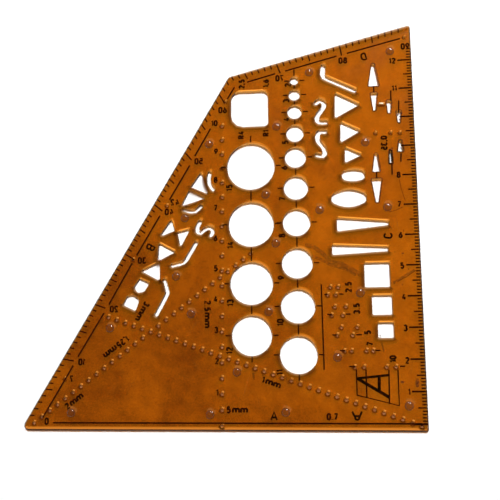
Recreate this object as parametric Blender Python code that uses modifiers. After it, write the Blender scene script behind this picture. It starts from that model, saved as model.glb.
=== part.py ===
"""A flat drawing template of clear tinted sheet, with the ink risers on its top face.

Sizes are millimetres until they are placed; the model is in metres with +Z up. The layout is measured
the way the template is used: from the zero of its edge scale at the lower right, so x runs left from the
right ruling edge and is negative, and y runs up from the base line. The finished part is centred over
its origin and lies on z = 0.
"""
import math

import bmesh
import bpy
from mathutils import Matrix, Vector

MM = 0.001
COLLECTION = "drawing_template"

# The sheet: a right-angled lower right corner, a slanting left edge and a shallow top edge
SHEET_W = 131.0
SHEET_H = 134.9
SLANT_DEG = 60.0
TOP_RISE_DEG = 14.2
BASE_MARGIN = 2.2
THICK = 1.5
EDGE_CHAMFER = 0.4
CORNER_R_LOW_LEFT = 1.5
CORNER_R_LOW_RIGHT = 0.6
CORNER_R_HIGH_RIGHT = 0.8
CORNER_R_HIGH_LEFT = 1.0

# The sheet that the places below are drawn for (width, height, slant, rise); on another they spread to fit
DRAWN_FOR = (131.0, 134.9, 60.0, 14.2)

# Circles: the size printed beside each, and its centre; a circle is cut over its size for the pen
PEN_ALLOWANCE = 1.2
SMALL_PEN_ALLOWANCE = 0.95
SMALL_CIRCLE = 5
COLUMN_RIGHT_X = -39.6
COLUMN_LEFT_X = -54.65
RIGHT_CIRCLES = {2: 114.4, 3: 109.3, 4: 103.2, 5: 95.6, 6: 87.2,
                 7: 76.7, 8: 64.9, 9: 51.3, 10: 37.2, 11: 21.6}
LEFT_CIRCLES = {12: 27.9, 13: 44.9, 14: 64.7, 15: 84.6}

# The square with four corner radii, and three plain squares: centre, side
RADIUS_SQUARE = (-55.0, 105.0, 12.8)
RADIUS_SQUARE_CORNERS = (4.3, 1.4, 2.0, 2.9)
SQUARES = ((-14.0, 47.0, 8.1), (-12.75, 37.25, 6.4), (-11.9, 29.2, 5.0))
SQUARE_CORNER_R = 0.5

# Two barrels (centre, length, height, swell of each long side) and two long tapers (their four corners)
BARRELS = ((-20.6, 80.4, 7.5, 4.2, 0.45), (-22.25, 72.65, 11.4, 6.2, 1.35))
BARREL_CORNER_R = 0.8
TAPERS = (((-26.4, 61.5), (-9.7, 63.2), (-9.7, 64.7), (-26.4, 66.2)),
          ((-28.2, 53.7), (-10.1, 54.6), (-10.1, 56.2), (-28.2, 57.2)))
TAPER_CORNER_R = 0.55

# Pointers down the middle, and the weld symbols' triangles and rounded tiles beside the slanting edge:
# a triangle is given by its rounded tips, a tile by its corners before they are rounded
POINTERS = (((-25.9, 100.7), (-18.0, 105.0), (-25.7, 109.2)),
            ((-24.3, 92.1), (-18.0, 95.7), (-24.1, 98.9)),
            ((-23.0, 85.0), (-17.8, 87.4), (-22.9, 89.9)))
WELD_TRIANGLES = (((-74.9, 78.2), (-69.4, 75.8), (-71.6, 82.9)),
                  ((-77.9, 71.9), (-70.4, 74.2), (-75.5, 77.1)),
                  ((-85.0, 61.7), (-80.5, 63.2), (-81.6, 66.8)),
                  ((-78.4, 58.0), (-75.5, 63.5), (-79.5, 62.6)),
                  ((-85.9, 53.2), (-80.3, 56.0), (-85.6, 58.9)),
                  ((-85.5, 46.6), (-85.6, 52.5), (-91.3, 49.8)))
TRIANGLE_CORNER_R = 0.5
WELD_TILES = (((-92.1, 47.4), (-88.7, 45.7), (-90.4, 42.7), (-93.0, 42.3), (-94.1, 44.3)),
              ((-94.5, 42.0), (-91.9, 40.4), (-93.3, 36.3), (-97.7, 38.4), (-96.3, 41.3)))
WELD_TILE_CORNERS = ((0.5, 0.5, 1.6, 1.5, 1.2), (1.5, 1.6, 0.5, 0.5, 1.2))

# Slots of one width: the width, the line down the middle, and whether the line is a curve
SLOTS = (
    (1.65, ((-29.7, 119.1), (-29.9, 116.2), (-29.4, 115.2), (-28.2, 114.5), (-19.4, 110.0)), False),
    (1.6, ((-32.3, 106.1), (-31.1, 106.9), (-29.7, 106.0), (-29.9, 104.4), (-31.2, 102.7), (-32.2, 100.8),
           (-31.4, 99.3), (-29.2, 99.2)), True),
    (1.6, ((-29.5, 95.9), (-31.2, 95.9), (-32.1, 94.5), (-31.8, 92.5), (-30.4, 90.7), (-29.7, 88.8),
           (-30.4, 87.5), (-32.3, 87.8)), True),
    (0.6, ((-11.4, 104.5), (-9.9, 104.5)), False),
    (1.35, ((-68.6, 82.8), (-69.0, 81.0), (-68.6, 78.9), (-67.4, 77.1)), True),
    (1.35, ((-77.2, 70.4), (-75.6, 69.7), (-73.3, 69.8), (-71.5, 71.4)), True),
    (1.45, ((-71.8, 66.0), (-72.7, 64.4), (-72.7, 62.9), (-71.6, 62.3), (-70.4, 63.2), (-69.1, 63.9),
            (-67.9, 63.5), (-67.6, 62.5), (-68.1, 61.4)), True),
    (1.4, ((-73.1, 58.8), (-75.8, 54.2), (-77.3, 52.3), (-81.0, 51.4)), True),
    (1.4, ((-83.7, 46.4), (-82.7, 43.0), (-83.0, 41.2), (-86.2, 35.1)), True),
)

# Dimension arrows: x, y of the tip, y of the base, width of the base
ARROWS = ((-12.9, 119.1, 111.2, 3.5), (-12.95, 102.5, 108.8, 2.1), (-8.1, 101.4, 105.8, 1.6),
          (-5.0, 98.0, 102.1, 1.4), (-4.9, 91.8, 87.9, 1.9), (-8.2, 88.5, 83.9, 1.2),
          (-13.0, 87.5, 81.3, 2.4), (-13.1, 70.9, 78.9, 3.3))
ARROW_TIP_W = 0.75
ARROW_CORNER_R = 0.32

# Pencil holes: a flat row and a steep row that share one hole, and a column
PENCIL_D = 1.1
FLAT_ROW_START = (-2.0, -0.57)
FLAT_ROW_STEP = (-2.87, 1.0)
FLAT_ROW_COUNT = 36
STEEP_ROW_BEFORE = 15
STEEP_ROW_AFTER = 13
STEEP_ROW_STEP = (2.56, 1.955)
SHARED_HOLE = 30
PENCIL_COLUMN_X = -64.4
PENCIL_COLUMN_Y = -0.73
PENCIL_COLUMN_STEP = 5.0
PENCIL_COLUMN_COUNT = 21

# Smaller holes: lettering guide lines, and single marks on the scales
GUIDE_D = 1.0
GUIDES = ((-29.1, 43.2), (-26.6, 43.2), (-30.0, 40.7), (-27.4, 40.7),
          (-27.8, 36.8), (-24.3, 36.8), (-28.9, 34.1), (-25.3, 34.1),
          (-25.9, 30.2), (-20.9, 30.2), (-27.3, 27.7), (-22.4, 27.7),
          (-25.2, 22.7), (-22.9, 22.7), (-18.2, 22.7), (-16.1, 22.7),
          (-22.1, 17.6), (-19.1, 17.6), (-12.1, 17.6), (-9.2, 17.6))
MARK_D = 0.8
MARKS = ((-116.5, 14.3), (-94.5, 53.5), (-83.2, 71.8), (-63.2, 107.9), (-2.1, 128.2),
         (-12.9, 94.6), (-7.9, 94.5), (-4.9, 94.4))

# Ink risers: low domes, glued on, that hold the sheet off wet ink when it is turned over
RISER_D = 2.9
RISER_H = 0.75
RISER_GAP = 0.05
RISERS = ((-114.1, 3.3), (-101.8, 30.7), (-74.7, 35.1), (-59.6, 16.2), (-68.3, 2.8), (-49.2, 35.5),
          (-44.1, 3.6), (-19.6, 41.1), (-27.4, 20.7), (-5.7, 5.6), (-49.8, 74.6), (-32.0, 68.9),
          (-46.6, 58.0), (-9.9, 69.2), (-16.4, 91.5), (-7.1, 123.3), (-34.5, 117.1), (-45.9, 98.2),
          (-68.9, 92.9), (-77.0, 67.3), (-79.8, 47.6))

# Facets
CORNER_STEPS = 3
CURVE_STEPS = 2
CAP_STEPS = 6
PENCIL_SIDES = 10
RISER_SIDES = 14
RISER_RINGS = 4
CUT_OVERRUN = 1.0

TINT = (0.68, 0.35, 0.02, 1.0)
RISER_TINT = (0.62, 0.28, 0.02, 1.0)


def arc(centre, radius, start_deg, end_deg, steps):
    """Points of an arc, both ends included."""
    angles = [math.radians(start_deg + (end_deg - start_deg) * i / steps) for i in range(steps + 1)]
    return [Vector((centre[0] + radius * math.cos(a), centre[1] + radius * math.sin(a))) for a in angles]


def rounded(points, radii):
    """A polygon with each corner cut to an arc of its own radius."""
    out = []
    for i, point in enumerate(points):
        before, corner, after = Vector(points[i - 1]), Vector(point), Vector(points[(i + 1) % len(points)])
        back, ahead = before - corner, after - corner
        half = back.angle(ahead) / 2
        reach = min(radii[i] / math.tan(half), 0.48 * back.length, 0.48 * ahead.length)
        radius = reach * math.tan(half)
        centre = corner + (back.normalized() + ahead.normalized()).normalized() * radius / math.sin(half)
        first = corner + back.normalized() * reach - centre
        last = corner + ahead.normalized() * reach - centre
        turn = math.degrees(math.atan2(first.cross(last), first.dot(last)))
        start = math.degrees(math.atan2(first.y, first.x))
        out += arc(centre, radius, start, start + turn, CORNER_STEPS)
    return out


def even(points, radius):
    return rounded(points, [radius] * len(points))


def tipped(points, radius):
    """A rounded triangle whose tips, once rounded, lie on the points."""
    corners = []
    for i, point in enumerate(points):
        tip = Vector(point)
        back, ahead = Vector(points[i - 1]) - tip, Vector(points[(i + 1) % len(points)]) - tip
        outward = -(back.normalized() + ahead.normalized()).normalized()
        corners.append(tip + outward * radius * (1 / math.sin(back.angle(ahead) / 2) - 1))
    return even(corners, radius)


def square(x, y, side):
    h = side / 2
    return [(x - h, y - h), (x + h, y - h), (x + h, y + h), (x - h, y + h)]


def barrel(x, y, length, height, swell):
    """A box whose two long sides swell outwards."""
    half, side = length / 2 - BARREL_CORNER_R, height / 2
    xs = [half * (i / CORNER_STEPS - 1) for i in range(2 * CORNER_STEPS + 1)]
    low = [Vector((x + u, y - side + swell * (u / half) ** 2)) for u in xs]
    high = [Vector((x - u, y + side - swell * (u / half) ** 2)) for u in xs]
    end = side - swell - BARREL_CORNER_R
    right = [Vector((x + length / 2, y - end)), Vector((x + length / 2, y + end))]
    left = [Vector((x - length / 2, y + end)), Vector((x - length / 2, y - end))]
    return low + right + high + left


def arrow(x, tip_y, base_y, base_w):
    corners = [(x - base_w / 2, base_y), (x + base_w / 2, base_y),
               (x + ARROW_TIP_W / 2, tip_y), (x - ARROW_TIP_W / 2, tip_y)]
    return even(corners, ARROW_CORNER_R)


def curve_through(points):
    """A Catmull-Rom line through the points."""
    padded = [points[0], *points, points[-1]]
    line = []
    for a, b, c, d in zip(padded, padded[1:], padded[2:], padded[3:]):
        for step in range(CURVE_STEPS):
            t = step / CURVE_STEPS
            line.append(b + 0.5 * ((c - a) * t + (2 * a - 5 * b + 4 * c - d) * t ** 2
                                   + (3 * b - a - 3 * c + d) * t ** 3))
    return line + [points[-1]]


def slot(width, middle, curved):
    """The outline of a slot that follows a line and has round ends."""
    line = [Vector(p) for p in middle]
    if curved:
        line = curve_through(line)
    runs = [(b - a).normalized() for a, b in zip(line, line[1:])]
    left, right = [], []
    for point, behind, ahead in zip(line, [runs[0], *runs], [*runs, runs[-1]]):
        along = (ahead + behind).normalized()
        across = Vector((-along.y, along.x)) * width / 2 / along.dot(ahead)
        left.append(point + across)
        right.append(point - across)
    return left + round_end(line[-2], line[-1], width) + right[::-1] + round_end(line[1], line[0], width)


def round_end(inner, tip, width):
    out = tip - inner
    facing = math.degrees(math.atan2(out.y, out.x))
    return arc(tip, width / 2, facing + 90, facing - 90, CAP_STEPS)[1:-1]


def edge_lines(width, height, slant_deg, rise_deg):
    """The left edge as x = a + b y, and the top edge as y = c + d x."""
    b = 1 / math.tan(math.radians(slant_deg))
    return b * BASE_MARGIN - width, b, height - BASE_MARGIN, math.tan(math.radians(rise_deg))


EDGES = edge_lines(SHEET_W, SHEET_H, SLANT_DEG, TOP_RISE_DEG)
DRAWN_EDGES = edge_lines(*DRAWN_FOR)


def between_edges(u, v, edges):
    """The place that lies at u of the way to the left edge and v of the way to the top edge."""
    a, b, c, d = edges
    x = u * (a + b * v * c) / (1 - u * v * b * d)
    return Vector((x, v * (c + d * x)))


def spread(point):
    """Where a drawn place lies on the sheet as it is sized now."""
    a, b, c, d = DRAWN_EDGES
    x, y = point
    return between_edges(x / (a + b * y), y / (c + d * x), EDGES)


def spread_outline(outline):
    """Move an outline with the sheet's size, without stretching it."""
    centre = sum(outline, Vector((0, 0))) / len(outline)
    shift = spread(centre) - centre
    return [p + shift for p in outline]


def sheet_outline():
    corners = [Vector((-SHEET_W, -BASE_MARGIN)), Vector((0, -BASE_MARGIN)),
               Vector((0, SHEET_H - BASE_MARGIN)), between_edges(1, 1, EDGES)]
    return rounded(corners, (CORNER_R_LOW_LEFT, CORNER_R_LOW_RIGHT, CORNER_R_HIGH_RIGHT, CORNER_R_HIGH_LEFT))


OUTLINE = sheet_outline()
MIDDLE = Vector(((min(p.x for p in OUTLINE) + max(p.x for p in OUTLINE)) / 2,
                 (min(p.y for p in OUTLINE) + max(p.y for p in OUTLINE)) / 2))


def flat_solid(name, outlines, low, high):
    """A mesh of flat outlines filled and extruded from low to high, by a 2D curve."""
    curve = bpy.data.curves.new(name, "CURVE")
    curve.dimensions = "2D"
    curve.fill_mode = "BOTH"
    curve.extrude = (high - low) / 2 * MM
    for outline in outlines:
        spline = curve.splines.new("POLY")
        spline.points.add(len(outline) - 1)
        for point, place in zip(spline.points, outline):
            point.co = (*((place - MIDDLE) * MM), 0, 1)
        spline.use_cyclic_u = True
    maker = bpy.data.objects.new(name, curve)
    bpy.context.scene.collection.objects.link(maker)
    evaluated = maker.evaluated_get(bpy.context.evaluated_depsgraph_get())
    mesh = bpy.data.meshes.new_from_object(evaluated)
    bpy.data.objects.remove(maker)
    solid = bmesh.new()
    solid.from_mesh(mesh)
    bmesh.ops.remove_doubles(solid, verts=solid.verts, dist=0.001 * MM)
    bmesh.ops.translate(solid, verts=solid.verts, vec=(0, 0, (low + high) / 2 * MM))
    bmesh.ops.recalc_face_normals(solid, faces=solid.faces)
    solid.to_mesh(mesh)
    solid.free()
    return mesh


def round_holes(name, holes):
    """A mesh of upright cylinders, from (centre, diameter, sides)."""
    solid = bmesh.new()
    for centre, diameter, sides in holes:
        place = Matrix.Translation((*((centre - MIDDLE) * MM), THICK / 2 * MM))
        bmesh.ops.create_cone(solid, cap_ends=True, segments=sides, radius1=diameter / 2 * MM,
                              radius2=diameter / 2 * MM, depth=(THICK + 2 * CUT_OVERRUN) * MM, matrix=place)
    mesh = bpy.data.meshes.new(name)
    solid.to_mesh(mesh)
    solid.free()
    return mesh


def circle_cuts():
    """The lettered circles, each with sides enough for its size."""
    cuts = []
    for x, column in ((COLUMN_RIGHT_X, RIGHT_CIRCLES), (COLUMN_LEFT_X, LEFT_CIRCLES)):
        for size, y in column.items():
            allowance = SMALL_PEN_ALLOWANCE if size <= SMALL_CIRCLE else PEN_ALLOWANCE
            cuts.append((spread((x, y)), size + allowance, 4 * (4 + size // 3)))
    return cuts


def pencil_cuts():
    """The rows and the column of pencil holes, the guide holes and the marks."""
    start, step = Vector(FLAT_ROW_START), Vector(FLAT_ROW_STEP)
    places = [start + step * i for i in range(FLAT_ROW_COUNT)]
    shared, step = places[SHARED_HOLE], Vector(STEEP_ROW_STEP)
    places += [shared + step * i for i in range(-STEEP_ROW_BEFORE, STEEP_ROW_AFTER + 1) if i]
    start, step = Vector((PENCIL_COLUMN_X, PENCIL_COLUMN_Y)), Vector((0, PENCIL_COLUMN_STEP))
    places += [start + step * i for i in range(PENCIL_COLUMN_COUNT)]
    cuts = [(spread(p), PENCIL_D, PENCIL_SIDES) for p in places]
    cuts += [(spread(p), GUIDE_D, PENCIL_SIDES) for p in GUIDES]
    cuts += [(spread(p), MARK_D, PENCIL_SIDES) for p in MARKS]
    return cuts


def shaped_cuts():
    """Outlines of the openings that aren't round."""
    shapes = [rounded(square(*RADIUS_SQUARE), RADIUS_SQUARE_CORNERS)]
    shapes += [even(square(*place), SQUARE_CORNER_R) for place in SQUARES]
    shapes += [barrel(*place) for place in BARRELS]
    shapes += [even(corners, TAPER_CORNER_R) for corners in TAPERS]
    shapes += [tipped(tips, TRIANGLE_CORNER_R) for tips in (*POINTERS, *WELD_TRIANGLES)]
    shapes += [rounded(corners, radii) for corners, radii in zip(WELD_TILES, WELD_TILE_CORNERS)]
    shapes += [slot(*line) for line in SLOTS]
    shapes += [arrow(*place) for place in ARROWS]
    return [spread_outline(shape) for shape in shapes]


def chamfer_top(mesh):
    """Take the sharp edge off the sheet's top outline."""
    solid = bmesh.new()
    solid.from_mesh(mesh)
    bmesh.ops.dissolve_limit(solid, angle_limit=math.radians(0.5), verts=solid.verts, edges=solid.edges)
    top = max(v.co.z for v in solid.verts) - 0.01 * MM
    rim = [e for e in solid.edges if min(v.co.z for v in e.verts) > top]
    bmesh.ops.bevel(solid, geom=rim, offset=EDGE_CHAMFER * MM, segments=1, affect="EDGES", profile=0.5)
    solid.to_mesh(mesh)
    solid.free()


def tinted(name, colour):
    material = bpy.data.materials.new(name)
    material.use_nodes = True
    shader = material.node_tree.nodes["Principled BSDF"]
    shader.inputs["Base Color"].default_value = colour
    shader.inputs["Roughness"].default_value = 0.15
    shader.inputs["Transmission Weight"].default_value = 0.8
    return material


def cutter(mesh, collection):
    """A hidden body that is only there to be cut away."""
    body = bpy.data.objects.new(mesh.name, mesh)
    body.hide_render = True
    body.display_type = "WIRE"
    collection.objects.link(body)
    return body


def make_sheet(parts, cutters):
    mesh = flat_solid("sheet", [OUTLINE], 0, THICK)
    chamfer_top(mesh)
    mesh.materials.append(tinted("sheet", TINT))
    sheet = bpy.data.objects.new("sheet", mesh)
    parts.objects.link(sheet)
    cuts = (flat_solid("shaped_cuts", shaped_cuts(), -CUT_OVERRUN, THICK + CUT_OVERRUN),
            round_holes("circle_cuts", circle_cuts()),
            round_holes("pencil_cuts", pencil_cuts()))
    for cut in cuts:
        boolean = sheet.modifiers.new(cut.name, "BOOLEAN")
        boolean.operation = "DIFFERENCE"
        boolean.solver = "EXACT"
        boolean.use_self = True
        boolean.object = cutter(cut, cutters)


def riser_profile():
    """Half the outline of a dome, from its top down to the middle of its flat foot."""
    ball_r = (RISER_D ** 2 / 4 + RISER_H ** 2) / (2 * RISER_H)
    rim_deg = math.degrees(math.asin((ball_r - RISER_H) / ball_r))
    points = arc((0, RISER_H - ball_r), ball_r, 90, rim_deg, RISER_RINGS) + [Vector((0, 0))]
    links = [(i, i + 1) for i in range(len(points) - 1)]
    mesh = bpy.data.meshes.new("ink_riser")
    mesh.from_pydata([(p.x * MM, 0, p.y * MM) for p in points], links, [])
    mesh.materials.append(tinted("ink_riser", RISER_TINT))
    return mesh


def make_risers(parts):
    profile = riser_profile()
    for number, place in enumerate(RISERS, 1):
        riser = bpy.data.objects.new("ink_riser_%02d" % number, profile)
        riser.location = (*((spread(place) - MIDDLE) * MM), (THICK + RISER_GAP) * MM)
        parts.objects.link(riser)
        screw = riser.modifiers.new("turn", "SCREW")
        screw.axis = "Z"
        screw.steps = RISER_SIDES
        screw.render_steps = RISER_SIDES
        screw.use_merge_vertices = True
        screw.merge_threshold = 0.001 * MM
        screw.use_smooth_shade = True


def main():
    for leftover in list(bpy.data.objects):
        bpy.data.objects.remove(leftover, do_unlink=True)
    parts = bpy.data.collections.new(COLLECTION)
    cutters = bpy.data.collections.new("cutters")
    bpy.context.scene.collection.children.link(parts)
    bpy.context.scene.collection.children.link(cutters)
    make_sheet(parts, cutters)
    make_risers(parts)


main()
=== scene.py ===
# A drawing template of clear orange acrylic: engraved scales, cut-outs with painted light and shade on their
# walls and rims, ink risers
import math
import random

import bmesh
import bpy
from mathutils import Matrix, Vector

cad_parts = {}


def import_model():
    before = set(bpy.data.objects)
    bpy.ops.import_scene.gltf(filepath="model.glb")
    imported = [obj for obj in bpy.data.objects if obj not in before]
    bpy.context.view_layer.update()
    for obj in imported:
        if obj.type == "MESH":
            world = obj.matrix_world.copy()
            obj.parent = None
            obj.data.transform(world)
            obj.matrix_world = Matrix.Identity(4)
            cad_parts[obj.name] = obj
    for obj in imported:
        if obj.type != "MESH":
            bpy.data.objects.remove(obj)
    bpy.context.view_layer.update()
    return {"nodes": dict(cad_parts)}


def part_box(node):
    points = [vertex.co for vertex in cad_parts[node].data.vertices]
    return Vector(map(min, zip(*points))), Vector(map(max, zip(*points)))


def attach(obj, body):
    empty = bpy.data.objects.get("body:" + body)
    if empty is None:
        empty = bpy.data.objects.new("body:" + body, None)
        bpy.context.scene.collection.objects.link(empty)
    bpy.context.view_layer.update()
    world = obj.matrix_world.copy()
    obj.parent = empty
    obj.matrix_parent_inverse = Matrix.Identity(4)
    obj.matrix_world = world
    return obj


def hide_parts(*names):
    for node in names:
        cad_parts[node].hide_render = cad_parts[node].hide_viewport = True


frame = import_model()
SHEET_LOW, SHEET_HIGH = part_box("sheet")

MM = 0.001
BODY = "root"
TOP = SHEET_HIGH.z

# Places are in millimetres from the zero of the edge scale: x is below 0 to the left of the ruling edge,
# and y runs up. The base's rim lies a little below that zero
BASE_MARGIN = 2.2
ZERO = Vector((SHEET_HIGH.x, SHEET_LOW.y + BASE_MARGIN * MM))
SLANT = math.radians(60.0)
TOP_RISE = math.radians(14.2)
# Where the slanting edge meets the top edge
CORNER = Vector((-62.2, 116.96))

# Horizontal direction that the light comes from, as seen in the shading of the cut walls
LIGHT_FROM = (0.39, 0.92)
LIGHT_SIDE = Vector(LIGHT_FROM).normalized()


def at(x, y):
    """A place of the layout, in the model's metres."""
    return Vector((ZERO.x + x * MM, ZERO.y + y * MM))


# Colours and materials


def srgb(code):
    """A hex colour as the linear value that a shader takes."""
    parts = [int(code[i:i + 2], 16) / 255 for i in (1, 3, 5)]
    return (*(c / 12.92 if c <= 0.04045 else ((c + 0.055) / 1.055) ** 2.4 for c in parts), 1.0)


def grey(level):
    """A plain value as a ramp stop takes it."""
    return (level, level, level, 1.0)


def add(tree, kind, settings=None, inputs=None, links=None, stops=None):
    """A node with its settings, plain input values and links, and the (place, colour) stops of a ramp."""
    node = tree.nodes.new(kind)
    for name, value in (settings or {}).items():
        setattr(node, name, value)
    for name, value in (inputs or {}).items():
        node.inputs[name].default_value = value
    for name, source in (links or {}).items():
        tree.links.new(source, node.inputs[name])
    if stops:
        while len(node.color_ramp.elements) < len(stops):
            node.color_ramp.elements.new(0.5)
        for element, (place, colour) in zip(node.color_ramp.elements, stops):
            element.position = place
            element.color = colour
    return node


def blank(name):
    """A new material with its tree and its Principled shader."""
    made = bpy.data.materials.new(name)
    made.use_nodes = True
    return made, made.node_tree, made.node_tree.nodes["Principled BSDF"]


def acrylic():
    """Cast acrylic, dyed orange: clear, so the paper shows through; clouded by years of handling."""
    made, tree, shader = blank("cast_acrylic_orange")
    place = add(tree, "ShaderNodeTexCoord").outputs["Object"]
    # Patches of grime a few centimetres wide, blotches of some millimetres, and a fine grain
    patches = add(tree, "ShaderNodeTexNoise", inputs={"Scale": 45.0, "Detail": 5.0, "Roughness": 0.6,
                                                      "Distortion": 0.5}, links={"Vector": place})
    blotches = add(tree, "ShaderNodeTexNoise", inputs={"Scale": 260.0, "Detail": 3.0, "Roughness": 0.6},
                   links={"Vector": place})
    grain = add(tree, "ShaderNodeTexNoise", inputs={"Scale": 1800.0, "Detail": 1.0}, links={"Vector": place})
    most = add(tree, "ShaderNodeMath", {"operation": "MULTIPLY_ADD"}, {1: 0.6},
               {0: blotches.outputs["Fac"], 2: patches.outputs["Fac"]})
    cloud = add(tree, "ShaderNodeMath", {"operation": "MULTIPLY_ADD"}, {1: 0.5},
                {0: grain.outputs["Fac"], 2: most.outputs["Value"]})
    # The sheet is darker towards the corner at the zero of the angle scale and lighter towards the far corner
    axes = add(tree, "ShaderNodeSeparateXYZ", links={0: place})
    rise = add(tree, "ShaderNodeMath", {"operation": "ADD"},
               links={0: axes.outputs["X"], 1: axes.outputs["Y"]})
    depth = add(tree, "ShaderNodeMath", {"operation": "MULTIPLY_ADD"}, {1: 2.2},
                {0: rise.outputs["Value"], 2: cloud.outputs["Value"]})
    level = add(tree, "ShaderNodeMapRange", inputs={"From Min": 0.6, "From Max": 1.5},
                links={"Value": depth.outputs["Value"]})
    tint = add(tree, "ShaderNodeValToRGB", links={"Fac": level.outputs["Result"]}, stops=[
        (0.0, srgb("#7A3C02")), (0.5, srgb("#AA6006")), (1.0, srgb("#C4760E"))])
    tree.links.new(tint.outputs["Color"], shader.inputs["Base Color"])
    polish = add(tree, "ShaderNodeValToRGB", links={"Fac": patches.outputs["Fac"]}, stops=[
        (0.35, grey(0.14)), (0.65, grey(0.05))])
    tree.links.new(polish.outputs["Color"], shader.inputs["Roughness"])
    shader.inputs["IOR"].default_value = 1.49
    shader.inputs["Transmission Weight"].default_value = 1.0
    # Lamps shine through the dyed sheet on to the paper
    path = add(tree, "ShaderNodeLightPath")
    clear = add(tree, "ShaderNodeBsdfTransparent", inputs={"Color": srgb("#CCA032")})
    mix = add(tree, "ShaderNodeMixShader", links={0: path.outputs["Is Shadow Ray"], 1: shader.outputs["BSDF"],
                                                  2: clear.outputs["BSDF"]})
    tree.links.new(mix.outputs["Shader"], tree.nodes["Material Output"].inputs["Surface"])
    return made


def see_through(code, cover):
    """A ramp stop: a colour, and how much of the acrylic below it hides."""
    return (*srgb(code)[:3], cover)


def film(tree, shader, colour, cover, roughness, specular=0.0):
    """Makes a shader a film on the acrylic: its colour, how much it hides and how it shines."""
    tree.links.new(colour, shader.inputs["Base Color"])
    tree.links.new(cover, shader.inputs["Alpha"])
    shader.inputs["Roughness"].default_value = roughness
    shader.inputs["Specular IOR Level"].default_value = specular


def pair(node):
    """The colour and the cover that a ramp gives."""
    return node.outputs["Color"], node.outputs["Alpha"]


def share(tree, value, low, high):
    """How far a value has gone from low to high, with soft ends."""
    node = add(tree, "ShaderNodeMapRange", {"interpolation_type": "SMOOTHSTEP"},
               {"From Min": low, "From Max": high}, {"Value": value})
    return node.outputs["Result"]


def blend_ramps(tree, factor, first, second):
    """Colour and cover of two (colour, cover) pairs, mixed by a factor."""
    colour = add(tree, "ShaderNodeMix", {"data_type": "RGBA"}, links={0: factor, 6: first[0], 7: second[0]})
    cover = add(tree, "ShaderNodeMix", links={0: factor, 2: first[1], 3: second[1]})
    return colour.outputs[2], cover.outputs[0]


def noted(tree, name):
    """A value that was written for every point of the mesh."""
    return add(tree, "ShaderNodeAttribute", {"attribute_name": name}).outputs["Fac"]


def rim_glow():
    """Painted light and shade on the sheet beside a cut wall: painted bright where the wall turns from the
    window, else painted dull.
    """
    made, tree, shader = blank("painted_light_and_shade_beside_a_cut_wall")
    across = noted(tree, "across")
    facing = noted(tree, "facing")
    round_rim = add(tree, "ShaderNodeValToRGB", links={"Fac": across}, stops=[
        (0.0, see_through("#B46E2C", 0.8)), (0.05, see_through("#CC8034", 0.85)),
        (0.16, see_through("#CA7C2C", 0.85)), (0.25, see_through("#C47020", 0.8)),
        (0.36, see_through("#C46C10", 0.7)), (0.60, see_through("#B8650C", 0.0))])
    straight_rim = add(tree, "ShaderNodeValToRGB", links={"Fac": across}, stops=[
        (0.0, see_through("#A86420", 0.8)), (0.07, see_through("#F6A040", 0.95)),
        (0.15, see_through("#FAA23C", 0.95)), (0.24, see_through("#CC7622", 0.6)),
        (0.36, see_through("#B8650C", 0.0))])
    outer_rim = add(tree, "ShaderNodeValToRGB", links={"Fac": across}, stops=[
        (0.0, see_through("#9A5818", 0.7)), (0.06, see_through("#D28030", 0.85)),
        (0.30, see_through("#CA7824", 0.8)), (0.56, see_through("#B8650C", 0.0))])
    plain = add(tree, "ShaderNodeValToRGB", links={"Fac": across}, stops=[
        (0.0, see_through("#9A6426", 0.75)), (0.10, see_through("#9A5E14", 0.5)),
        (0.30, see_through("#9A560A", 0.0))])
    shaded = add(tree, "ShaderNodeValToRGB", links={"Fac": across}, stops=[
        (0.0, see_through("#745030", 0.95)), (0.10, see_through("#644020", 0.9)),
        (0.25, see_through("#5C320E", 0.85)), (0.42, see_through("#602C06", 0.8)),
        (0.62, see_through("#6E3606", 0.55)), (0.95, see_through("#7C4204", 0.0))])
    dull = add(tree, "ShaderNodeValToRGB", links={"Fac": across}, stops=[
        (0.0, see_through("#A8866A", 0.9)), (0.14, see_through("#9A7450", 0.9)),
        (0.25, see_through("#80582A", 0.85)), (0.36, see_through("#6E400A", 0.8)),
        (0.52, see_through("#683604", 0.7)), (0.70, see_through("#743E04", 0.4)),
        (0.95, see_through("#7C4204", 0.0))])
    # Painted light and shade: the ramps are mixed by how each rim turns to the window
    side = share(tree, facing, -0.02, -0.42)
    away = share(tree, facing, -0.6, -0.95)
    towards = share(tree, facing, 0.66, 1.02)
    straight_towards = share(tree, facing, 0.4, 0.8)
    straight = noted(tree, "straight")
    outline = noted(tree, "outline")
    mixed = blend_ramps(tree, towards, pair(plain), pair(round_rim))
    sharp = blend_ramps(tree, straight_towards, pair(plain), pair(straight_rim))
    mixed = blend_ramps(tree, straight, mixed, sharp)
    mixed = blend_ramps(tree, side, mixed, pair(shaded))
    outer = blend_ramps(tree, straight_towards, pair(plain), pair(outer_rim))
    mixed = blend_ramps(tree, outline, mixed, outer)
    colour, cover = blend_ramps(tree, away, mixed, pair(dull))
    film(tree, shader, colour, cover, 0.5)
    return made


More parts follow.
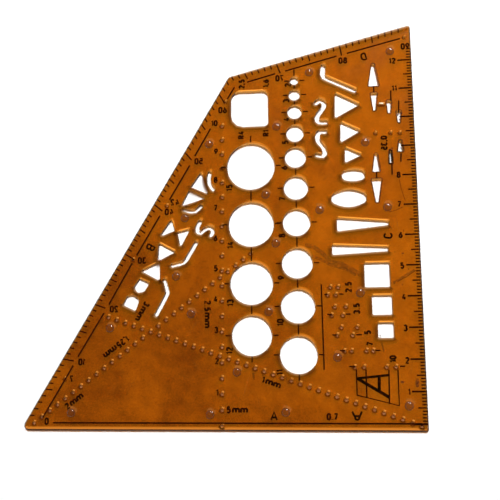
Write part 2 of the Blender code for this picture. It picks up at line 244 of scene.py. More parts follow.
def pinhole_glow():
    """Round a pencil hole: painted shade on the near side, and a small painted highlight on the far side."""
    made, tree, shader = blank("painted_light_and_shade_round_a_pencil_hole")
    across = noted(tree, "across")
    facing = noted(tree, "facing")
    painted_highlight = add(tree, "ShaderNodeValToRGB", links={"Fac": across}, stops=[
        (0.0, see_through("#A8601C", 0.7)), (0.20, see_through("#D0843A", 0.8)),
        (0.40, see_through("#E29A48", 0.9)), (0.62, see_through("#D08030", 0.7)),
        (0.90, see_through("#C4701E", 0.0))])
    painted_shadow = add(tree, "ShaderNodeValToRGB", links={"Fac": across}, stops=[
        (0.0, see_through("#5E2606", 0.9)), (0.45, see_through("#5C2604", 0.85)),
        (0.95, see_through("#6A3006", 0.0))])
    plain = add(tree, "ShaderNodeValToRGB", links={"Fac": across}, stops=[
        (0.0, see_through("#7A3E10", 0.8)), (0.4, see_through("#804208", 0.3)),
        (0.7, see_through("#804408", 0.0))])
    # Painted light and shade, set by how each rim turns to the window
    mixed = blend_ramps(tree, share(tree, facing, 0.72, 1.0), pair(plain), pair(painted_highlight))
    colour, cover = blend_ramps(tree, share(tree, facing, 0.1, -0.5), mixed, pair(painted_shadow))
    film(tree, shader, colour, cover, 0.5)
    return made


def milled_acrylic():
    """The cut walls: left matt by the cutter; painted paler towards the rim and darker at the foot, and
    painted paler, brown or glowing by how each wall turns to the window.
    """
    made, tree, shader = blank("milled_acrylic")
    place = add(tree, "ShaderNodeTexCoord").outputs["Object"]
    up = noted(tree, "up")
    facing = noted(tree, "facing")
    outline = noted(tree, "outline")
    # Painted light and shade: the walls are coloured by their height and by how they turn to the window
    pale = add(tree, "ShaderNodeValToRGB", links={"Fac": up}, stops=[
        (0.0, srgb("#8A6034")), (1.0, srgb("#A8845A"))])
    brown = add(tree, "ShaderNodeValToRGB", links={"Fac": up}, stops=[
        (0.0, srgb("#3A1C06")), (1.0, srgb("#4E2A0C"))])
    glow = add(tree, "ShaderNodeValToRGB", links={"Fac": up}, stops=[
        (0.0, srgb("#86602E")), (0.5, srgb("#A8712C")), (1.0, srgb("#C88A3C"))])
    towards = share(tree, facing, 0.35, 0.85)
    inner = add(tree, "ShaderNodeMath", {"operation": "SUBTRACT"}, {0: 1.0}, {1: outline})
    painted_shine = add(tree, "ShaderNodeMath", {"operation": "MULTIPLY"},
                  links={0: towards, 1: inner.outputs["Value"]})
    away = share(tree, facing, -0.45, -0.7)
    first = add(tree, "ShaderNodeMix", {"data_type": "RGBA"}, links={0: painted_shine.outputs["Value"],
                                                                     6: brown.outputs["Color"],
                                                                     7: glow.outputs["Color"]})
    second = add(tree, "ShaderNodeMix", {"data_type": "RGBA"}, links={0: away, 6: first.outputs[2],
                                                                      7: pale.outputs["Color"]})
    # Fine upright cutter marks
    marks = add(tree, "ShaderNodeTexNoise", inputs={"Scale": 2600.0, "Detail": 2.0}, links={"Vector": place})
    tone = add(tree, "ShaderNodeValToRGB", links={"Fac": marks.outputs["Fac"]}, stops=[
        (0.3, grey(0.8)), (0.7, grey(1.1))])
    worn = add(tree, "ShaderNodeMix", {"data_type": "RGBA", "blend_type": "MULTIPLY"}, {0: 1.0},
               {6: second.outputs[2], 7: tone.outputs["Color"]})
    tree.links.new(worn.outputs[2], shader.inputs["Base Color"])
    # Painted light: the walls turned from the window glow by themselves, standing in for light that runs
    # inside the sheet
    painted_glow_strength = add(tree, "ShaderNodeMath", {"operation": "MULTIPLY"}, {1: 0.75}, {0: painted_shine.outputs["Value"]})
    tree.links.new(worn.outputs[2], shader.inputs["Emission Color"])
    tree.links.new(painted_glow_strength.outputs["Value"], shader.inputs["Emission Strength"])
    shader.inputs["Roughness"].default_value = 0.55
    shader.inputs["Specular IOR Level"].default_value = 0.2
    return made


def engraving_ink(name, code):
    """Enamel wiped into an engraved line: matt, and brown where it has worn thin."""
    made, tree, shader = blank(name)
    place = add(tree, "ShaderNodeTexCoord").outputs["Object"]
    worn = add(tree, "ShaderNodeTexNoise", inputs={"Scale": 900.0, "Detail": 3.0}, links={"Vector": place})
    shade = add(tree, "ShaderNodeValToRGB", links={"Fac": worn.outputs["Fac"]}, stops=[
        (0.45, srgb(code)), (0.95, srgb("#4A1A04"))])
    tree.links.new(shade.outputs["Color"], shader.inputs["Base Color"])
    shader.inputs["Roughness"].default_value = 0.6
    shader.inputs["Specular IOR Level"].default_value = 0.0
    return made


def riser_resin():
    """A drop of resin: clear at its foot, then brown and glossy, and painted a little paler on top as light
    falls on it.
    """
    made, tree, shader = blank("moulded_resin_drop")
    place = add(tree, "ShaderNodeTexCoord").outputs["Object"]
    up = noted(tree, "up")
    cloud = add(tree, "ShaderNodeTexNoise", inputs={"Scale": 700.0, "Detail": 2.0}, links={"Vector": place})
    height = add(tree, "ShaderNodeMath", {"operation": "MULTIPLY_ADD"}, {1: 0.3},
                 {0: cloud.outputs["Fac"], 2: up})
    # Painted light: the tint is paler towards the top of the drop
    tint = add(tree, "ShaderNodeValToRGB", links={"Fac": height.outputs["Value"]}, stops=[
        (0.06, see_through("#6E3A0C", 0.0)), (0.42, see_through("#481806", 0.75)),
        (0.70, see_through("#4C1C08", 0.6)), (1.15, see_through("#643014", 0.5))])
    film(tree, shader, *pair(tint), 0.12, 0.45)
    return made


def pencil_dust():
    """Painted shade in a pencil hole: a mottled brown that stands in for the dim table and walls seen down
    the hole.
    """
    made, tree, shader = blank("painted_shade_in_a_pencil_hole")
    place = add(tree, "ShaderNodeTexCoord").outputs["Object"]
    speckle = add(tree, "ShaderNodeTexNoise", inputs={"Scale": 1500.0, "Detail": 2.0}, links={"Vector": place})
    shade = add(tree, "ShaderNodeValToRGB", links={"Fac": speckle.outputs["Fac"]}, stops=[
        (0.3, srgb("#8A5230")), (0.7, srgb("#B07A54"))])
    tree.links.new(shade.outputs["Color"], shader.inputs["Base Color"])
    shader.inputs["Roughness"].default_value = 0.9
    return made


def smear(name, code, cover):
    """A thin film on the sheet, thicker in some places than in others: old ink or dirt, and also painted
    light where a pale colour is given.
    """
    made, tree, shader = blank(name)
    place = add(tree, "ShaderNodeTexCoord").outputs["Object"]
    broken = add(tree, "ShaderNodeTexNoise", inputs={"Scale": 1200.0, "Detail": 3.0}, links={"Vector": place})
    thinned = add(tree, "ShaderNodeValToRGB", links={"Fac": broken.outputs["Fac"]}, stops=[
        (0.30, see_through(code, cover)), (0.72, see_through(code, cover * 0.25))])
    film(tree, shader, *pair(thinned), 0.7, 0.1)
    return made


# Printed lines and figures


def arc(cx, cy, rx, ry, start, end, steps=10):
    """Points of an elliptical arc, in degrees."""
    angles = [math.radians(start + (end - start) * i / steps) for i in range(steps + 1)]
    return [(cx + rx * math.cos(a), cy + ry * math.sin(a)) for a in angles]


# Draughtsman's letters as single strokes, one unit high: width, then the strokes
GLYPHS = {
    "0": (0.50, [arc(0.25, 0.75, 0.25, 0.25, 0, 180)
                 + arc(0.25, 0.25, 0.25, 0.25, 180, 360) + [(0.50, 0.75)]]),
    "1": (0.20, [[(0.0, 0.76), (0.19, 1.0), (0.19, 0.0)]]),
    "2": (0.50, [arc(0.25, 0.74, 0.25, 0.26, 165, -35) + [(0.0, 0.0), (0.50, 0.0)]]),
    "3": (0.50, [arc(0.24, 0.76, 0.22, 0.24, 155, -90), arc(0.24, 0.27, 0.26, 0.27, 90, -155)]),
    "4": (0.54, [[(0.34, 1.0), (0.0, 0.26), (0.54, 0.26)], [(0.40, 0.52), (0.40, 0.0)]]),
    "5": (0.50, [[(0.46, 1.0), (0.06, 1.0), (0.04, 0.56)] + arc(0.24, 0.31, 0.26, 0.31, 130, -150)]),
    "6": (0.50, [[(0.40, 1.0)] + arc(0.25, 0.28, 0.25, 0.28, 160, 520, 18)]),
    "7": (0.50, [[(0.0, 1.0), (0.50, 1.0), (0.16, 0.0)]]),
    "8": (0.50, [arc(0.25, 0.77, 0.21, 0.23, 0, 360, 16), arc(0.25, 0.27, 0.25, 0.27, 0, 360, 16)]),
    "9": (0.50, [[(0.10, 0.0)] + arc(0.25, 0.72, 0.25, 0.28, -20, 340, 18)]),
    ",": (0.22, [[(0.14, 0.08), (0.02, -0.20)]]),
    ".": (0.20, [[(0.08, -0.04), (0.08, 0.08)]]),
    "m": (1.15, [[(0.0, 0.0), (0.0, 0.72)], arc(0.285, 0.46, 0.285, 0.26, 180, 0, 8) + [(0.57, 0.0)],
                 arc(0.86, 0.46, 0.29, 0.26, 180, 0, 8) + [(1.15, 0.0)]]),
    "A": (0.76, [[(0.0, 0.0), (0.38, 1.0), (0.76, 0.0)], [(0.12, 0.32), (0.64, 0.32)]]),
    "B": (0.58, [[(0.0, 0.0), (0.0, 1.0), (0.30, 1.0)] + arc(0.30, 0.76, 0.22, 0.24, 90, -90, 8)
                 + [(0.0, 0.52)],
                 [(0.30, 0.52)] + arc(0.32, 0.26, 0.26, 0.26, 90, -90, 8) + [(0.0, 0.0)]]),
    "C": (0.62, [arc(0.32, 0.66, 0.30, 0.34, 25, 180, 8) + arc(0.32, 0.34, 0.32, 0.34, 180, 335, 8)]),
    "D": (0.62, [[(0.0, 0.0), (0.0, 1.0), (0.28, 1.0)] + arc(0.28, 0.66, 0.34, 0.34, 90, 0, 6)
                 + arc(0.28, 0.34, 0.34, 0.34, 0, -90, 6) + [(0.0, 0.0)]]),
    "R": (0.54, [[(0.0, 0.0), (0.0, 1.0), (0.28, 1.0)] + arc(0.28, 0.76, 0.22, 0.24, 90, -90, 8)
                 + [(0.0, 0.52)],
                 [(0.26, 0.52), (0.52, 0.0)]]),
}


def gap(left, right):
    """The space between two characters, in letter heights."""
    if right == "m":
        return 0.38 if left == "m" else 0.55
    return 0.30 if left in ",." or right in ",." else 0.36


def lettering(text, x, y, height, turn=0.0, mirrored=False):
    """The strokes of a text centred on a place of the layout, turned and, where asked, mirrored."""
    starts, pen = [], 0.0
    for i, c in enumerate(text):
        starts.append(pen)
        pen += GLYPHS[c][0] + (gap(c, text[i + 1]) if i + 1 < len(text) else 0.0)
    flip = -1 if mirrored else 1
    cos, sin = math.cos(math.radians(turn)), math.sin(math.radians(turn))
    lines = []
    for c, start in zip(text, starts):
        for stroke in GLYPHS[c][1]:
            line = []
            for u, v in stroke:
                a, b = flip * (start + u - pen / 2) * height, (v - 0.5) * height
                line.append((x + a * cos - b * sin, y + a * sin + b * cos))
            lines.append(line)
    return lines


def node_group(name, sockets):
    """An empty geometry node tree with its named inputs."""
    tree = bpy.data.node_groups.new(name, "GeometryNodeTree")
    tree.interface.new_socket("Geometry", in_out="INPUT", socket_type="NodeSocketGeometry")
    tree.interface.new_socket("Geometry", in_out="OUTPUT", socket_type="NodeSocketGeometry")
    for label, kind in sockets:
        tree.interface.new_socket(label, in_out="INPUT", socket_type=kind)
    return tree, add(tree, "NodeGroupInput")


def finish_group(tree, given, geometry):
    """Ends a tree: real geometry with its material on."""
    real = add(tree, "GeometryNodeRealizeInstances", links={"Geometry": geometry})
    coated = add(tree, "GeometryNodeSetMaterial",
                 links={"Geometry": real.outputs["Geometry"], "Material": given.outputs["Material"]})
    add(tree, "NodeGroupOutput", links={"Geometry": coated.outputs["Geometry"]})


def stroke_tree():
    """Sweeps each line of a mesh into a low, flat bead of ink."""
    tree, given = node_group("ink_strokes", [("Line width", "NodeSocketFloat"),
                                             ("Bead height", "NodeSocketFloat"),
                                             ("Material", "NodeSocketMaterial")])
    half = add(tree, "ShaderNodeMath", {"operation": "MULTIPLY"}, {1: 0.5}, {0: given.outputs["Line width"]})
    lines = add(tree, "GeometryNodeMeshToCurve", links={"Mesh": given.outputs["Geometry"]})
    level = add(tree, "GeometryNodeSetCurveNormal", links={"Curve": lines.outputs["Curve"]})
    level.mode = "Z_UP"
    ring = add(tree, "GeometryNodeCurvePrimitiveCircle", inputs={"Resolution": 8, "Radius": 1.0})
    shape = add(tree, "ShaderNodeCombineXYZ", inputs={"Z": 1.0},
                links={"X": half.outputs["Value"], "Y": given.outputs["Bead height"]})
    profile = add(tree, "GeometryNodeTransform", links={"Geometry": ring.outputs["Curve"],
                                                        "Scale": shape.outputs["Vector"]})
    bead = add(tree, "GeometryNodeCurveToMesh", inputs={"Fill Caps": True},
               links={"Curve": level.outputs["Curve"], "Profile Curve": profile.outputs["Geometry"]})
    finish_group(tree, given, bead.outputs["Mesh"])
    return tree


def riser_tree():
    """Sets a smooth drop on every point, and notes how high each part of it lies."""
    tree, given = node_group("resin_drops", [("Radius", "NodeSocketFloat"), ("Height", "NodeSocketFloat"),
                                             ("Material", "NodeSocketMaterial")])
    ball = add(tree, "GeometryNodeMeshUVSphere", inputs={"Segments": 24, "Rings": 12, "Radius": 1.0})
    position = add(tree, "GeometryNodeInputPosition").outputs["Position"]
    place = add(tree, "ShaderNodeSeparateXYZ", links={0: position})
    noted = add(tree, "GeometryNodeStoreNamedAttribute", {"data_type": "FLOAT", "domain": "POINT"},
                {"Name": "up"}, {"Geometry": ball.outputs["Mesh"], "Value": place.outputs["Z"]})
    below = add(tree, "FunctionNodeCompare", {"operation": "LESS_THAN"}, {"B": -0.001},
                {"A": place.outputs["Z"]})
    dome = add(tree, "GeometryNodeDeleteGeometry", links={"Geometry": noted.outputs["Geometry"],
                                                          "Selection": below.outputs["Result"]})
    shape = add(tree, "ShaderNodeCombineXYZ", links={"X": given.outputs["Radius"],
                                                     "Y": given.outputs["Radius"],
                                                     "Z": given.outputs["Height"]})
    drops = add(tree, "GeometryNodeInstanceOnPoints", links={"Points": given.outputs["Geometry"],
                                                             "Instance": dome.outputs["Geometry"],
                                                             "Scale": shape.outputs["Vector"]})
    finish_group(tree, given, drops.outputs["Instances"])
    return tree


def grown(name, mesh, tree, values):
    """A plain mesh piece that a node tree makes from a mesh of points or lines; it rides on the sheet."""
    maker = bpy.data.objects.new(name, mesh)
    bpy.context.scene.collection.objects.link(maker)
    modifier = maker.modifiers.new(name, "NODES")
    modifier.node_group = tree
    for item in tree.interface.items_tree:
        if item.in_out == "INPUT" and item.name in values:
            modifier[item.identifier] = values[item.name]
    made = bpy.data.meshes.new_from_object(maker.evaluated_get(bpy.context.evaluated_depsgraph_get()))
    made.name = name
    made.materials.clear()
    made.materials.append(values["Material"])
    made.polygons.foreach_set("material_index", [0] * len(made.polygons))
    bpy.data.objects.remove(maker)
    return placed(name, made)


def placed(name, mesh):
    """A finished mesh as a piece of the sheet."""
    piece = bpy.data.objects.new(name, mesh)
    bpy.context.scene.collection.objects.link(piece)
    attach(piece, BODY)
    return piece


STROKES = stroke_tree()


def printed(name, lines, width, ink, bead=0.02):
    """Ink strokes on the top face, from lines in the layout's millimetres, lower where a drop is given."""
    points, edges = [], []
    for line in lines:
        first = len(points)
        points += [(*at(*point[:2]), TOP - (point[2] * MM if len(point) > 2 else 0.0)) for point in line]
        edges += [(first + i, first + i + 1) for i in range(len(line) - 1)]
    mesh = bpy.data.meshes.new(name)
    mesh.from_pydata(points, edges, [])
    return grown(name, mesh, STROKES, {"Line width": width * MM, "Bead height": bead * MM, "Material": ink})


# How wide and deep the slope at the sheet's outline is, and how far in from the edge a tick starts
BEVEL = 0.41
TICK_START = 0.05


def edge_tick(outer, inner):
    """A tick that starts at the sheet's edge, comes up its bevel and runs in along the top face."""
    outer, inner = Vector(outer), Vector(inner)
    inward = (inner - outer).normalized()
    foot = outer + inward * TICK_START
    crest = outer + inward * (BEVEL + 0.02)
    return [(*foot, BEVEL - TICK_START), (*crest, 0.0), (*inner, 0.0)]


def ruling_ticks(step):
    """Ticks up the ruling edge: every centimetre, or the millimetres between them, longer at each five."""
    if step == 10:
        return [edge_tick((0.0, y), (-4.7, y)) for y in range(0, 125, 10)]
    return [edge_tick((0.0, y), (-3.0 if y % 5 == 0 else -1.7, y)) for y in range(0, 125) if y % 10]


# The zero of the angle scale, as the printed ticks show it
ANGLE_ZERO = Vector((-1.70, 0.36))


def edge_distance(angle):
    """How far the left or top edge lies from the zero of the angle scale, at an angle above the base."""
    away = Vector((-math.cos(angle), math.sin(angle)))
    reach = []
    for normal in (Vector((-math.sin(SLANT), math.cos(SLANT))),
                   Vector((-math.sin(TOP_RISE), math.cos(TOP_RISE)))):
        if away.dot(normal) > 0:
            reach.append((CORNER - ANGLE_ZERO).dot(normal) / away.dot(normal))
    return min(reach)


def protractor_ticks():
    """Degree ticks that point at the zero of the angle scale, from the slanting and top edges inwards."""
    ticks = []
    for degree in range(1, 90):
        angle = math.radians(degree)
        away = Vector((-math.cos(angle), math.sin(angle)))
        length = 4.0 if degree % 10 == 0 else 2.7 if degree % 5 == 0 else 1.8
        reach = edge_distance(angle)
        ticks.append(edge_tick(ANGLE_ZERO + away * reach, ANGLE_ZERO + away * (reach - length)))
    return ticks


BORDER_LINES = [
    [(-123.6, 1.8), (-113.9, 18.6)], [(-112.4, 21.5), (-104.0, 35.8)], [(-102.4, 38.6), (-94.8, 52.4)],
    [(-93.3, 55.0), (-85.6, 68.4)], [(-82.4, 73.8), (-75.5, 85.7)], [(-73.8, 88.9), (-68.4, 98.5)],
    [(-62.6, 108.9), (-60.1, 113.1)], [(-55.8, 114.7), (-46.0, 117.3)], [(-42.6, 118.1), (-25.0, 122.6)],
    [(-21.5, 123.4), (-3.5, 127.8)], [(-120.1, 0.2), (-0.4, 0.2)],
]

# The columns of circles: how far left each lies, with the printed size and the height of its circles
COLUMNS = {
    -39.6: {2: 114.4, 3: 109.3, 4: 103.2, 5: 95.6, 6: 87.2, 7: 76.7, 8: 64.9, 9: 51.3, 10: 37.2, 11: 21.6},
    -54.65: {12: 27.9, 13: 44.9, 14: 64.7, 15: 84.6},
}


def opening_radius(size):
    """A circle is cut wider than its printed size, for the pen's width."""
    return (size + (0.95 if size <= 5 else 1.2)) / 2


def centre_marks():
    """Lines that join the circles of a column, and a tick at each side of every circle."""
    lines, side, space = [], 2.0, 0.3
    for x, column in COLUMNS.items():
        ordered = sorted((y, opening_radius(size)) for size, y in column.items())
        for y, radius in ordered:
            lines += [[(x + way * (radius + space), y), (x + way * (radius + side), y)] for way in (-1, 1)]
        for (low, low_radius), (high, high_radius) in zip(ordered, ordered[1:]):
            lines.append([(x, low + low_radius + space), (x, high - high_radius - 0.2)])
        foot = ordered[0][0] - ordered[0][1]
        head = ordered[-1][0] + ordered[-1][1]
        lines += [[(x, foot), (x, foot - side)], [(x, head + space), (x, head + 2.6)]]
    return lines


# The upright line and the rungs of the lettering guide
GUIDE_LINES = [
    [(-32.0, 44.3), (-31.7, 16.8)],
    [(-31.1, 40.9), (-30.1, 40.9)], [(-26.3, 40.9), (-24.9, 40.9)],
    [(-30.3, 34.4), (-28.8, 34.4)], [(-24.3, 34.4), (-22.9, 34.4)],
    [(-28.9, 27.8), (-27.4, 27.8)], [(-21.3, 27.8), (-19.5, 27.8)],
    [(-26.6, 22.8), (-25.0, 22.8)], [(-15.5, 22.8), (-13.9, 22.8)],
    [(-23.8, 17.8), (-22.0, 17.8)], [(-8.1, 17.8), (-6.5, 17.8)],
]

ARROW_STEMS = [
    [(-4.8, 105.7), (-5.0, 101.4)], [(-7.9, 83.7), (-8.0, 80.1)], [(-4.8, 87.4), (-5.0, 84.3)],
    [(-7.3, 109.4), (-7.4, 105.6)], [(-12.9, 111.0), (-12.9, 109.0)], [(-13.0, 81.2), (-13.05, 79.0)],
]

# A letter drawn on its guide lines, to show how the sizes are measured
EXAMPLE_FRAME = [
    [(-21.6, 16.8), (-21.6, 8.9), (-8.7, 5.7), (-8.7, 16.7)],
    [(-18.6, 16.8), (-18.6, 8.3)], [(-11.5, 16.7), (-11.7, 6.2)],
]
EXAMPLE_LETTER = [[(-21.4, 14.1), (-11.6, 8.2)], [(-14.6, 14.5), (-14.7, 10.3)]]
EXAMPLE_THIN = [[(-21.4, 14.1), (-11.6, 15.1)]]

# Text and its centre
PROTRACTOR_FIGURES = [
    ("0", -122.2, 0.7), ("10", -111.0, 19.8), ("20", -100.6, 37.1), ("30", -91.4, 53.3), ("40", -82.4, 69.7),
    ("50", -72.4, 87.1), ("60", -64.2, 105.0), ("70", -44.5, 115.6), ("80", -22.9, 120.9),
    ("90", -1.9, 124.9),
    ("7", -114.3, 14.3), ("42", -80.5, 73.0),
]

RULER_FIGURES = [
    ("1", -5.5, 9.9), ("2", -5.7, 19.6), ("3", -5.8, 29.8), ("4", -5.9, 39.7), ("5", -6.0, 49.8),
    ("6", -6.1, 59.9), ("7", -6.1, 70.1), ("8", -5.9, 80.0), ("11", -6.1, 110.1), ("12", -6.4, 119.9),
    ("1", -65.9, 9.8), ("2", -66.1, 19.8), ("3", -66.3, 29.8), ("4", -66.5, 39.9), ("5", -66.5, 50.1),
    ("6", -66.6, 60.3), ("7", -66.6, 70.6), ("8", -66.6, 80.3), ("9", -66.5, 90.3), ("10", -67.1, 100.4),
]

# Where each circle's figure stands from the centre of the circle
CIRCLE_FIGURES = {2: (-2.1, -1.45), 3: (-2.8, -2.0), 4: (-2.8, -2.5), 5: (-3.3, -3.0), 6: (-3.86, -3.5),
                  7: (-4.6, -3.65), 8: (-4.9, -4.3), 9: (-5.3, -4.7), 10: (-5.8, -5.2), 11: (-6.2, -5.5),
                  12: (-7.3, -4.8), 13: (-7.0, -6.3), 14: (-7.0, -6.9), 15: (-7.3, -7.2)}

# Text, centre, letter height, turn, mirrored
LABELS = [
    ("2mm", -113.2, 7.2, 1.7, 37.4, False), ("1,25mm", -99.5, 24.6, 1.72, 217.4, False),
    ("3mm", -91.0, 36.2, 1.7, 240.0, False), ("2.5mm", -69.2, 35.0, 1.7, -90.0, False),
    ("1mm", -48.5, 12.9, 1.7, -19.2, False), ("5mm", -59.5, 4.4, 1.7, 0.0, False),
    ("0.7", -29.5, 2.3, 1.7, 0.0, False),
    ("2,5", -57.6, 114.1, 1.6, 90.0, False), ("1,6", -49.3, 113.9, 1.6, 90.0, False),
    ("R4", -57.9, 95.8, 1.65, 90.0, False), ("R1", -49.4, 96.1, 1.65, 90.0, False),
    ("2.5", -23.3, 43.1, 1.65, 90.0, False), ("3.5", -20.9, 36.1, 1.65, 90.0, False),
    ("5", -17.7, 28.5, 1.65, 90.0, False), ("7", -17.1, 24.9, 1.65, 90.0, False),
    ("10", -10.1, 20.1, 1.65, 90.0, False), ("0,35", -10.2, 91.1, 1.65, 90.0, True),
]

BOLD_LETTERS = [("A", -47.8, 2.5, 2.5, 0.0, False), ("B", -88.6, 57.6, 2.6, 240.0, False),
                ("C", -10.1, 59.7, 2.4, 90.0, False), ("D", -15.9, 121.9, 2.3, 194.2, False)]
HOOPED_LETTER = [[(-23.3, 3.9), (-22.4, 2.0)] + arc(-21.8, 1.85, 0.6, 0.5, 180, 360)
                 + [(-21.2, 2.0), (-20.3, 3.9)], [(-22.6, 2.5), (-21.0, 2.5)]]


def printing():
    """All the engraved and inked marks of the sheet."""
    ink = engraving_ink("engraving_enamel", "#180602")
    thin = engraving_ink("engraving_enamel_worn", "#220A04")
    black = engraving_ink("engraving_enamel_black", "#120802")
    printed("ruling_scale", ruling_ticks(1) + protractor_ticks(), 0.46, thin, 0.04)
    printed("centimetre_ticks", ruling_ticks(10), 0.55, ink, 0.04)
    printed("border_lines", BORDER_LINES, 0.54, thin, 0.03)
    printed("engraved_lines", centre_marks() + GUIDE_LINES + ARROW_STEMS, 0.46, thin, 0.03)
    figures = [stroke for text, x, y in PROTRACTOR_FIGURES
               for stroke in lettering(text, x, y, 1.8, 0.0, True)]
    figures += [stroke for text, x, y in RULER_FIGURES for stroke in lettering(text, x, y, 1.65)]
    printed("scale_figures", figures, 0.58, ink, 0.03)
    labels = [stroke for label in LABELS for stroke in lettering(*label)]
    for x, column in COLUMNS.items():
        for size, y in column.items():
            dx, dy = CIRCLE_FIGURES[size]
            labels += lettering(str(size), x + dx, y + dy, 1.75, 90)
    printed("size_labels", labels, 0.62, ink, 0.03)
    bold = [stroke for letter in BOLD_LETTERS for stroke in lettering(*letter)]
    printed("key_letters", bold + HOOPED_LETTER, 0.62, black, 0.03)
    printed("example_frame", EXAMPLE_FRAME, 0.46, ink, 0.03)
    printed("example_letter", EXAMPLE_LETTER, 1.0, black, 0.03)
    printed("example_letter_thin_side", EXAMPLE_THIN, 0.8, black, 0.025)


# Wear: old ink, spots and scratches, and a painted glint

CHANCE = random.Random(12)
SCUFF_TRIES = 70


def spot(x, y, rx, ry, turn=0.0, sides=14):
    """A ragged outline in the layout's millimetres: for drops of ink, and for the painted patches of light
    beside the resin drops.
    """
    cos, sin = math.cos(math.radians(turn)), math.sin(math.radians(turn))
    outline = []
    for i in range(sides):
        angle = 2 * math.pi * i / sides
        ragged = CHANCE.uniform(0.8, 1.12)
        a, b = rx * ragged * math.cos(angle), ry * ragged * math.sin(angle)
        outline.append((x + a * cos - b * sin, y + a * sin + b * cos))
    return outline


def spots(name, outlines, material, lift=0.03):
    """Flat patches just above the top face."""
    points, faces = [], []
    for outline in outlines:
        faces.append(tuple(range(len(points), len(points) + len(outline))))
        points += [(*at(x, y), TOP + lift * MM) for x, y in outline]
    mesh = bpy.data.meshes.new(name)
    mesh.from_pydata(points, [], faces)
    mesh.materials.append(material)
    return placed(name, mesh)


# Centre and half sizes of each spot
OLD_INK = [
    (-7.6, 89.1, 0.45, 0.3), (-8.3, 88.8, 0.2, 0.15), (-7.6, 12.9, 0.75, 0.35), (-2.9, 12.8, 0.62, 1.5),
    (-4.2, 101.1, 0.5, 0.4), (-5.7, 53.8, 0.35, 0.33), (-8.2, 54.3, 0.2, 0.2), (-4.1, 48.6, 0.2, 0.22),
    (-6.2, 43.6, 0.22, 0.18),
]

# Damp-looking streaks of dirt: width, then places along the streak
STREAKS = [
    (1.5, [(-37.0, 57.2), (-34.1, 56.5), (-31.5, 54.5), (-29.0, 51.6), (-25.2, 50.6), (-22.0, 48.8),
           (-18.3, 46.4)]),
    (0.9, [(-35.1, 53.5), (-32.2, 52.5), (-28.7, 50.4), (-24.2, 49.0), (-20.8, 47.0)]),
    (0.8, [(-9.1, 44.2), (-7.2, 45.1), (-4.9, 46.7), (-2.1, 48.3)]),
    (0.5, [(-51.5, 16.2), (-50.9, 14.2), (-50.3, 12.5)]), (0.5, [(-44.2, 15.3), (-43.2, 12.4)]),
    (0.7, [(-54.4, 17.5), (-54.1, 13.7)]), (0.6, [(-13.9, 27.7), (-12.8, 22.3)]),
]

# Openings that wet ink has crept round, and how wide the stain is
INKED_OPENINGS = [((-7.2, 86.0), 0.42), ((-4.5, 88.6), 0.2)]

SCRATCHES = [
    [(-5.7, 78.4), (-5.3, 75.5), (-4.7, 73.2), (-4.1, 71.2)], [(-9.5, 67.5), (-7.2, 68.1), (-5.0, 69.1)],
    [(-7.9, 44.6), (-4.8, 46.1), (-1.8, 48.1)], [(-5.1, 60.9), (-5.1, 61.6)],
]
# A painted highlight: a pale line lying over a small slot near the arrows
GLINTS = [[(-11.3, 104.95), (-9.9, 104.95)]]


def wear():
    """Spots and scratches of old ink beside the ruling edge, fine scuffs all over the face, and a painted
    glint over a small slot.
    """
    # Painted highlight over a small slot
    printed("glints", GLINTS, 0.5, smear("painted_light_in_a_slot", "#FFF0CC", 1.0), 0.03)
    spots("old_ink_spots", [spot(*place) for place in OLD_INK], smear("dried_ink", "#3A1406", 0.85))
    dirt = smear("finger_grime", "#4A2200", 0.3)
    for number, (width, line) in enumerate(STREAKS, 1):
        printed(f"grime_streak_{number}", [line], width, dirt, 0.008)
    crept = engraving_ink("crept_ink", "#120A04")
    for (x, y), width in INKED_OPENINGS:
        nearest = min(OPENINGS, key=lambda loop: (middle(loop) - at(x, y)).length)
        rim = [((corner.x - ZERO.x) / MM, (corner.y - ZERO.y) / MM) for corner in nearest + nearest[:1]]
        printed("ink_round_an_opening", [rim], width, crept, 0.02)
    printed("inky_scratches", SCRATCHES, 0.16, engraving_ink("dried_ink_in_a_scratch", "#4A1C08"), 0.012)
    scuffs = []
    while len(scuffs) < SCUFF_TRIES:
        x, y = CHANCE.uniform(-118, -3), CHANCE.uniform(3, 124)
        # Only to the right of the slanting edge
        if y < (x + 124) * 1.65:
            length, angle = CHANCE.uniform(1.5, 7.0), CHANCE.gauss(0.9, 0.7)
            scuffs.append([(x, y), (x + length * math.cos(angle), y + length * math.sin(angle))])
    clear = [line for line in scuffs if not over_opening(line)]
    printed("scuffs", clear, 0.07, smear("scuffed_acrylic", "#B87A34", 0.4), 0.006)


# The painted bands of light and shade beside the cut walls


def sheet_solid():
    """The sheet's mesh, with shared corners, ready to be asked for its edges."""
    solid = bmesh.new()
    solid.from_mesh(frame["nodes"]["sheet"].data)
    bmesh.ops.remove_doubles(solid, verts=solid.verts, dist=1e-7)
    return solid


def top_face_rims():
    """The loops round the sheet's top face, each with the material on its left."""
    solid = sheet_solid()
    top = {f for f in solid.faces if f.normal.z > 0.99 and f.calc_center_median().z > TOP - 1e-6}
    following = {}
    for face in top:
        for loop in face.loops:
            if sum(f in top for f in loop.edge.link_faces) == 1:
                following[loop.vert.index] = loop.link_loop_next.vert.index
    places = {v.index: v.co.xy.copy() for v in solid.verts if v.index in following}
    solid.free()
    loops = []
    while following:
        start, here = next(iter(following.items()))
        loop = [start]
        del following[start]
        while here != start:
            loop.append(here)
            here = following.pop(here)
        loops.append([places[i] for i in loop])
    return loops


def loop_length(loop):
    """The way round a rim, in metres."""
    return sum((a - b).length for a, b in zip(loop, loop[1:] + loop[:1]))


RIMS = top_face_rims()
OUTLINE = max(RIMS, key=loop_length)
OPENINGS = [loop for loop in RIMS if loop is not OUTLINE]
SMALL_HOLES = [loop for loop in OPENINGS if loop_length(loop) < 5 * MM]

